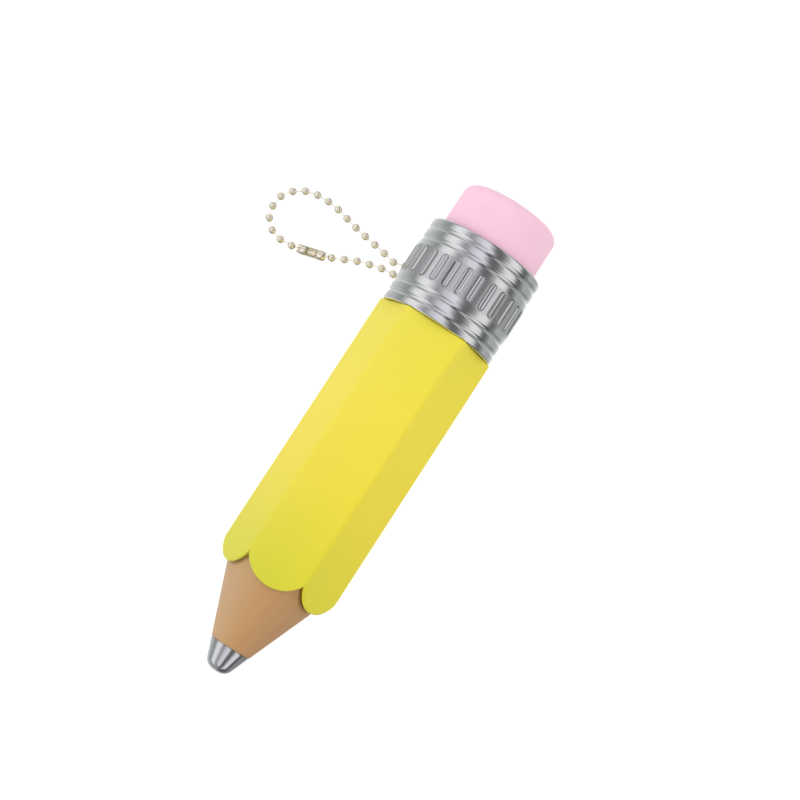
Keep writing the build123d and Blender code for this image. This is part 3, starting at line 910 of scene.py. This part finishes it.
def make_barrel(material):
    """Hexagonal shell with soft tongue edges, and the round spigot that the ferrule takes."""
    outer = hexagon_points(OUTER_APOTHEM, EDGE_ROUND)
    inner = hexagon_points(INNER_APOTHEM, 0.05 * MM)
    rings = []

    def add(x_of, place_of):
        rings.append([(x_of(i), *place_of(i)) for i in range(len(outer))])

    def outwards(i, drop):
        place = outer[i][0]
        towards = inner[i][0] - place
        share = drop / SHELL_WALL
        spot = place + towards * share
        return spot[0], spot[1] + AXIS_Z

    lip = 0.50 * MM
    lip_steps = 8
    for step in range(lip_steps + 1):
        swing = math.pi / 2 * step / lip_steps
        inwards = lip * (1 - math.cos(swing))
        drop = lip * (1 - math.sin(swing))
        add(lambda i: tongue_edge(outer[i][1], inwards), lambda i: outwards(i, drop))
    body_start = NOTCH_X + 8 * MM
    body_end = FERRULE_X - 0.25 * MM
    for share in (0.12, 0.30, 0.50, 0.75):
        add(
            lambda i: tongue_edge(outer[i][1], lip) * (1 - share) + body_start * share,
            lambda i: outwards(i, 0),
        )
    body_steps = 12
    for step in range(body_steps + 1):
        add(lambda i: body_start + (body_end - body_start) * step / body_steps, lambda i: outwards(i, 0))
    add(lambda i: FERRULE_X - 0.07 * MM, lambda i: outwards(i, 0.07 * MM))
    add(lambda i: FERRULE_X, lambda i: outwards(i, 0.25 * MM))

    def circle(radius):
        def place(i):
            spot = outer[i][0].normalized() * radius
            return spot[0], spot[1] + AXIS_Z

        return place

    spigot = FERRULE_BORE - 0.05 * MM
    for x, radius in (
        (FERRULE_X, spigot - 0.3 * MM),
        (SPIGOT_END_X - 0.3 * MM, spigot - 0.3 * MM),
        (SPIGOT_END_X, spigot - 0.5 * MM),
        (SPIGOT_END_X, spigot - SHELL_WALL),
        (FERRULE_X - SHELL_WALL, spigot - SHELL_WALL),
    ):
        add(lambda i: x, circle(radius))
    add(lambda i: FERRULE_X - SHELL_WALL - 0.3 * MM, lambda i: outwards(i, SHELL_WALL))
    add(lambda i: NOTCH_X + 6 * MM, lambda i: outwards(i, SHELL_WALL))
    back = ((1.25 * MM, SHELL_WALL), (0.80 * MM, SHELL_WALL - 0.6 * MM), (0.15 * MM, 0.85 * MM))
    for inwards, drop in back:
        add(lambda i: tongue_edge(outer[i][1], inwards), lambda i: outwards(i, drop))
    points, faces = joined_rings(rings, closed=True)
    return new_piece("barrel_skin", points, faces, [material], sharp_degrees=40)


def side_at(x):
    """Radius of the cone that the nose and the wood-coloured part share."""
    return TIP_BASE_RADIUS + (x - TIP_BASE_X) * CONE_SLOPE


def make_cone(material):
    """Wood-coloured cone; under the tongues it turns into the hexagonal plug."""
    segments = 240
    plug_end = cone_high[0]
    bore = STEM_RADIUS + 0.05 * MM
    throat = 5.2 * MM
    socket = 6.2 * MM
    socket_start = plug_end - 4.0 * MM
    beyond_corner = INNER_CORNER * 1.1
    edge = 0.12 * MM
    rows = [
        (TIP_BASE_X + edge, bore),
        (TIP_BASE_X, bore + 0.1 * MM),
        (TIP_BASE_X, TIP_BASE_RADIUS - 0.14 * MM),
        (TIP_BASE_X + 0.05 * MM, TIP_BASE_RADIUS - 0.04 * MM),
    ]
    steps = 60
    full_x = NOTCH_X + 0.5 * MM
    for step in range(steps + 1):
        x = TIP_BASE_X + edge + (full_x - TIP_BASE_X - edge) * step / steps
        rows.append((x, side_at(x)))
    rows += [
        (plug_end - 0.3 * MM, beyond_corner),
        (plug_end, beyond_corner - 0.3 * MM),
        (plug_end, socket),
        (socket_start, socket),
        (socket_start, throat),
        (tip_high[0], throat),
        (tip_high[0], bore),
    ]
    apothem = INNER_APOTHEM - 0.05 * MM
    rings = []
    for x, radius in rows:
        ring = []
        for step in range(segments):
            angle = TAU * step / segments
            from_face = (angle + SIXTH / 2) % SIXTH - SIXTH / 2
            limit = apothem / math.cos(from_face)
            ring.append(on_pencil(x, min(radius, limit), angle))
        rings.append(ring)
    points, faces = joined_rings(rings, closed=True)
    return new_piece("wood_cone", points, faces, [material], sharp_degrees=30)


def make_tip(material):
    """Polished nose with a lead hole, and a fine groove where it meets the cone."""
    gap = 0.06 * MM
    groove_x = TIP_BASE_X - 0.32 * MM
    retainer_start = NOSE_X + 8.2 * MM
    retainer_radius = 2.45 * MM
    hollow_start = tip_high[0] - 5.45 * MM
    hollow_radius = 3.1 * MM
    corners = [
        (NOSE_X, 0.0),
        (NOSE_X, side_at(NOSE_X), NOSE_ROUND),
        (groove_x, side_at(groove_x)),
        (TIP_BASE_X - 0.22 * MM, side_at(groove_x) - 0.10 * MM),
        (TIP_BASE_X - gap, side_at(groove_x) - 0.02 * MM),
        (TIP_BASE_X - gap, side_at(TIP_BASE_X) - 0.5 * MM),
        (TIP_BASE_X, STEM_RADIUS),
        (tip_high[0], STEM_RADIUS, 0.3 * MM),
        (tip_high[0], hollow_radius),
        (hollow_start, hollow_radius),
        (hollow_start, retainer_radius),
        (retainer_start, retainer_radius),
        (retainer_start, NOSE_HOLE_RADIUS),
        (NOSE_X + 0.02 * MM, NOSE_HOLE_RADIUS),
    ]
    # The hole is wider than the flat that the rounding leaves, so it cuts the round part off
    least = NOSE_HOLE_RADIUS - 0.01 * MM
    outline = [(x, radius) for x, radius in rounded_outline(corners) if radius > least]
    return turned_piece("nose_tip", outline, material)


def ferrule_flank():
    """Outline from the band's edge to the ferrule's end, as (distance from the middle, radius)."""
    ridge = FERRULE_RADIUS - RIDGE_DROP
    half_band = BAND_LENGTH / 2
    lip_end = (FERRULE_END_X - FERRULE_X) / 2
    outline = [
        (half_band, FERRULE_RADIUS),
        (half_band + 0.08 * MM, FERRULE_RADIUS - 0.005 * MM),
        (half_band + 0.5 * MM, FERRULE_RADIUS - 0.05 * MM),
        (half_band + SHOULDER_LENGTH - 0.25 * MM, ridge + 0.02 * MM),
    ]

    def groove(start):
        """Soft round valley."""
        steps = 22
        for step in range(steps + 1):
            share = step / steps
            dip = GROOVE_DEPTH * math.sin(math.pi * share) ** 2
            outline.append((start + GROOVE_WIDTH * share, ridge - dip))

    first = half_band + SHOULDER_LENGTH
    groove(first)
    outline.append((first + GROOVE_WIDTH + 0.2 * MM, ridge + 0.01 * MM))
    outline.append((first + GROOVE_WIDTH + RIDGE_LENGTH - 0.2 * MM, ridge + 0.01 * MM))
    groove(first + GROOVE_WIDTH + RIDGE_LENGTH)
    outline.append((first + 2 * GROOVE_WIDTH + RIDGE_LENGTH + 0.2 * MM, ridge))
    steps = 10
    for step in range(steps + 1):
        swing = math.pi / 2 * step / steps
        inwards = LIP_ROUND * (1 - math.sin(swing))
        outline.append((lip_end - inwards, ridge - LIP_ROUND * (1 - math.cos(swing))))
    return outline


# Steps along a slot's side and round its end, the pressed edge as a share of the depth and its width,
# and the order of the ferrule's metals, the last of them painted shade on the slots' pressed edge
LONG_STEPS = 24
SHORT_STEPS = 8
EDGE_DROP = 0.14
EDGE_WIDTH = 0.10 * MM
RING, BAND, HOLLOW, SLOT_RIM_SHADE = range(4)


def slot_loop(half_long, half_short, corner, height):
    """Loop of points round a slot's tile: straight long sides, and ends that are square or round."""
    loop = []
    for step in range(LONG_STEPS):
        loop.append((-half_long + 2 * half_long * step / LONG_STEPS, -half_short, height))
    for step in range(SHORT_STEPS):
        angle = -math.pi / 2 + math.pi * step / SHORT_STEPS
        flat = -half_short + 2 * half_short * step / SHORT_STEPS
        across = half_short * math.sin(angle) if corner else flat
        loop.append((half_long + corner * math.cos(angle), across, height))
    for x, across, height in list(loop):
        loop.append((-x, -across, height))
    return loop


def make_ferrule(materials):
    """Turned ring whose band has a row of pressed slots: ring, band, hollow and painted-shade rim
    materials.
    """
    pitch = TAU / SLOT_COUNT
    half_band = BAND_LENGTH / 2
    half_tile = FERRULE_RADIUS * pitch / 2
    straight = (SLOT_LENGTH - SLOT_WIDTH) / 2
    half_slot = SLOT_WIDTH / 2
    points = []
    faces = []
    slots = []

    # rings either side of the band, and the bore that joins them
    flank = ferrule_flank()
    mouth = ERASER_RADIUS + 0.3 * MM
    outline = [(FERRULE_MIDDLE_X + offset, radius) for offset, radius in flank]
    outline += [
        (FERRULE_END_X, mouth + 0.25 * MM),
        (FERRULE_END_X - 0.25 * MM, mouth),
        (FERRULE_END_X - STOP_LIP_LENGTH, mouth),
        (FERRULE_END_X - STOP_LIP_LENGTH, FERRULE_BORE),
        (FERRULE_X + 0.2 * MM, FERRULE_BORE),
        (FERRULE_X, FERRULE_BORE + 0.2 * MM),
    ]
    outline += [(FERRULE_MIDDLE_X - offset, radius) for offset, radius in reversed(flank)]
    angles = []
    for slot in range(SLOT_COUNT):
        for step in range(SHORT_STEPS):
            angles.append(pitch * (slot - 0.5 + step / SHORT_STEPS))
    rings = [[on_pencil(x, radius, angle) for angle in angles] for x, radius in outline]
    ring_points, ring_faces = joined_rings(rings)
    points += ring_points
    faces += ring_faces
    slots += [RING] * len(ring_faces)

    # one tile of the band for each slot
    loops = [slot_loop(half_band, half_tile, 0, 0)]
    for grow in (0.30 * MM, 0.05 * MM):
        loops.append(slot_loop(straight, half_slot + grow, half_slot + grow, 0))
    steps = 13
    for step in range(steps + 1):
        share = 0.95 * step / steps
        hollow = EDGE_DROP + (1 - EDGE_DROP) * (1 - (1 - share) ** 2)
        size = (half_slot - EDGE_WIDTH) * (1 - share)
        loops.append(slot_loop(straight, size, size, -SLOT_DEPTH * hollow))
    count = len(loops[0])
    for slot in range(SLOT_COUNT):
        base = len(points)
        for loop in loops:
            for x, across, height in loop:
                angle = pitch * slot + across / FERRULE_RADIUS
                points.append(on_pencil(FERRULE_MIDDLE_X + x, FERRULE_RADIUS + height, angle))
        for row in range(len(loops) - 1):
            for step in range(count):
                beside = (step + 1) % count
                low = base + row * count
                faces.append((low + step, low + beside, low + count + beside, low + count + step))
                # The third row, round each slot's rim, takes the dark metal of painted shade
                slots.append((BAND, BAND, SLOT_RIM_SHADE)[row] if row < 3 else HOLLOW)
        floor = base + (len(loops) - 1) * count
        mirror_sum = 2 * LONG_STEPS + SHORT_STEPS
        for step in range(-SHORT_STEPS // 2, LONG_STEPS + SHORT_STEPS // 2):
            corners = []
            for index in (step, step + 1, mirror_sum - step - 1, mirror_sum - step):
                corner = floor + index % count
                if corner not in corners:
                    corners.append(corner)
            faces.append(tuple(corners))
            slots.append(HOLLOW)
    return new_piece("ferrule_ring", points, faces, materials, slots, sharp_degrees=50)


def make_eraser(material):
    """Rubber cylinder, very slightly barrelled, with a soft rounded end and its socket."""
    belly = 0.02 * MM
    at_axis = 0.02 * MM
    corners = [
        (ERASER_START_X, SOCKET_RADIUS),
        (ERASER_START_X, ERASER_RADIUS - belly, 0.25 * MM),
        ((ERASER_START_X + ERASER_END_X) / 2, ERASER_RADIUS),
        (ERASER_END_X, ERASER_RADIUS - belly, ERASER_ROUND),
        (ERASER_END_X, 6 * MM),
        (ERASER_END_X, 3 * MM),
        (ERASER_END_X, at_axis),
        (SOCKET_END, at_axis),
        (SOCKET_END, SOCKET_RADIUS),
    ]
    return turned_piece("eraser_rubber", rounded_outline(corners), material, 160)


def make_lead(material):
    """Lead in use, its end worn to a blunt point."""
    low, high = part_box("lead")
    radius = (high[2] - low[2]) / 2 - 0.002 * MM
    at_axis = 0.01 * MM
    start = low[0] + 0.002 * MM
    outline = [
        (start, at_axis),
        (start, 0.35 * MM),
        (low[0] + 0.10 * MM, 0.52 * MM),
        (low[0] + 0.75 * MM, radius - 0.05 * MM),
        (low[0] + 0.95 * MM, radius),
        (high[0] - 0.1 * MM, radius),
        (high[0], radius - 0.1 * MM),
        (high[0], at_axis),
    ]
    return turned_piece("lead_in_use", outline, material, 48)


def give(node, material):
    """Put a material on a CAD node that is shown as it is."""
    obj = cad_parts[node]
    if not obj.material_slots:
        obj.data.materials.append(material)
    for slot in obj.material_slots:
        slot.material = material


def place(piece, body, slot, *nodes):
    """Ride on a body and stand for CAD nodes; the slot is not used."""
    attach(piece, body)
    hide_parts(*nodes)


# ---- build
add_camera()
chain_finish = chain_metal()
chain, chain_points, chain_length = make_chain(chain_finish)
mouth_a = Vector(CHAIN_ROUTE[0]) * MM
mouth_b = Vector(CHAIN_ROUTE[-1]) * MM
connector = make_connector(chain_finish, mouth_a, mouth_b)
place(chain, "barrel", "nickel_chain", "ball_chain")
place(connector, "barrel", "nickel_chain", "chain_connector")
[tuple(point) for point in chain_points]

add_world()
add_softbox("overhead", (0.0, 0.0, 0.80), 1.2, 1.0, 2.9)
add_softbox("chain_side", (-0.30, 0.62, 0.55), 1.0, 0.6, 1.9)
add_softbox("near_side", (0.50, -0.62, 0.48), 1.0, 0.6, 1.85)
add_floor()
bpy.context.scene.view_settings.view_transform = "Standard"

steel = turned_metal("turned_steel", (0.74, 0.745, 0.76), 0.14)
polished = turned_metal("polished_nose", (0.68, 0.685, 0.71), 0.11, 0.03)
brass = turned_metal("turned_brass", (0.78, 0.60, 0.30), 0.24)
wire = turned_metal("plated_wire", (0.74, 0.71, 0.62), 0.22, 0.03)
white = moulded_plastic("white_plastic", (0.80, 0.80, 0.78))
smoke = moulded_plastic("smoke_plastic", (0.62, 0.66, 0.68), 0.25)
black = moulded_plastic("black_rubber", (0.03, 0.03, 0.03), 0.7)
graphite = graphite_material()

place(make_barrel(yellow_material()), "barrel", "yellow_coat", "barrel_shell")
place(make_cone(tan_material()), "barrel", "tan_cone", "nose_cone")
place(make_tip(polished), "barrel", "polished_metal", "tip")
# The last metal is painted shade on the slots' rims
ferrule_metals = [steel, band_metal(), slot_metal(), slot_rim_shade_metal()]
place(make_ferrule(ferrule_metals), "barrel", "turned_aluminium", "ferrule")
place(make_lug(wire), "barrel", "nickel_wire", "chain_lug")
place(make_eraser(eraser_material()), "eraser_cap", "pink_rubber", "eraser")
place(make_lead(graphite), "writing_lead", "graphite", "lead")

for node, material in (
    ("push_button", white),
    ("chuck_holder", white),
    ("chuck_sleeve", white),
    ("mid_guide", white),
    ("rear_bushing", white),
    ("lead_tube", smoke),
    ("grip_ring", black),
    ("lead_retainer", black),
    ("chuck", brass),
    ("clutch_ring", brass),
    ("sleeve_gland", brass),
    ("chuck_spring", wire),
    ("spring_washer", wire),
    ("spare_leads", graphite),
):
    give(node, material)
